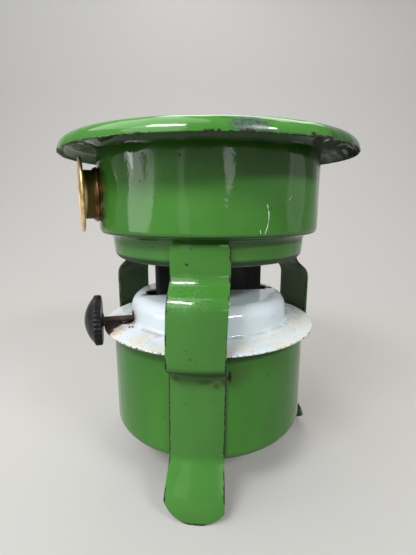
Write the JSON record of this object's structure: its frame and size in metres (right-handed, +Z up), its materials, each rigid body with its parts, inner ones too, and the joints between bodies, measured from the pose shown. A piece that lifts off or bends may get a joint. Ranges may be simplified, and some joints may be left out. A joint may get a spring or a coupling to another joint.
{
  "type": "kerosene wick stove",
  "caption": "Round enamelled kerosene stove: tank on strap legs, flat-wick burner under a white cover, side knob, lift-off flanged drum with a round window.",
  "frame": {"origin": "on the floor, on the stove's axis", "axes": "+Z up along the stove's axis, -Y towards the front leg, the knob on the -X side"},
  "size_m": [0.193, 0.193, 0.2235],
  "materials": {
    "green_enamel": "vitreous enamel, glossy mid green, chipped at the edges",
    "white_enamel": "vitreous enamel, glossy cool white, stained",
    "tinned_steel": "dull tinned sheet",
    "plain_brass": "turned brass, dulled",
    "burner_brass": "pressed brass, darkened by heat",
    "window_brass": "golden brass, polished face and dark neck",
    "seal": "dark cork and rubber",
    "dull_steel": "plain sheet, dulled by heat",
    "screw_steel": "slotted heads",
    "wick_weave": "flat woven cotton, charred at the top",
    "sooted_steel": "matt black, sooted",
    "rusty_steel": "brown rust",
    "bakelite": "moulded black, satin dome",
    "mica": "amber mica, smoked",
    "cast_iron": "rough black casting"
  },
  "bodies": {
    "stand": {"tank_shell": "green_enamel", "tank_top": "tinned_steel", "leg_front": "green_enamel", "leg_right": "green_enamel", "leg_left": "green_enamel", "filler_neck": "plain_brass", "neck_ring": "dull_steel", "burner_gasket": "seal", "burner_plate": "burner_brass", "burner_screws": "screw_steel", "air_ring": "dull_steel", "burner_cover": "white_enamel", "wick_tube": "burner_brass", "burner_housing": "sooted_steel", "flame_deflector": "sooted_steel", "spindle_bearing_outer": "burner_brass", "spindle_bearing_inner": "burner_brass"},
    "winder": {"spindle": "rusty_steel", "wick_wheel_outer": "dull_steel", "wick_wheel_inner": "dull_steel", "spindle_clip": "dull_steel", "knob": "bakelite", "knob_insert": "plain_brass"},
    "wick_body": {"wick": "wick_weave"},
    "drum_body": {"drum": "green_enamel", "window_socket": "window_brass"},
    "window": {"window_frame": "window_brass", "mica_disc": "mica", "window_ring": "window_brass"},
    "grate": {"pot_grate": "cast_iron"},
    "cap_seal": {"cap_gasket": "seal"},
    "cap": {"filler_cap": "plain_brass"}
  },
  "joints": [
    {"name": "drum_lift", "type": "slide", "parent": "stand", "child": "drum_body", "axis": [0, 0, 1], "range_m": [0, 0.08]},
    {"name": "grate_lift", "type": "slide", "parent": "drum_body", "child": "grate", "axis": [0, 0, 1], "range_m": [0, 0.04]},
    {"name": "window_pull", "type": "slide", "parent": "drum_body", "child": "window", "axis": [-0.8988, -0.4384, 0], "range_m": [0, 0.025]},
    {"name": "knob_turn", "type": "hinge", "parent": "stand", "child": "winder", "pos_m": [0.00287, -0.00853, 0.1065], "axis": [0.9478, 0.319, 0], "range_deg": [-90, 20]},
    {"name": "wick_raise", "type": "slide", "parent": "stand", "child": "wick_body", "axis": [0, 0, 1], "range_m": [-0.012, 0.003]},
    {"name": "cap_turn", "type": "hinge", "parent": "cap_seal", "child": "cap", "pos_m": [0, 0.068, 0.07], "axis": [0, 0.9063, 0.4226], "range_deg": [0, 1080]},
    {"name": "cap_rise", "type": "slide", "parent": "stand", "child": "cap_seal", "axis": [0, 0.9063, 0.4226], "range_m": [0, 0.0076]}
  ],
  "couplings": [
    {"joint": "wick_raise", "follows": "knob_turn", "m_per_rad": 0.0075},
    {"joint": "cap_rise", "follows": "cap_turn", "m_per_rad": 0.00039789}
  ]
}
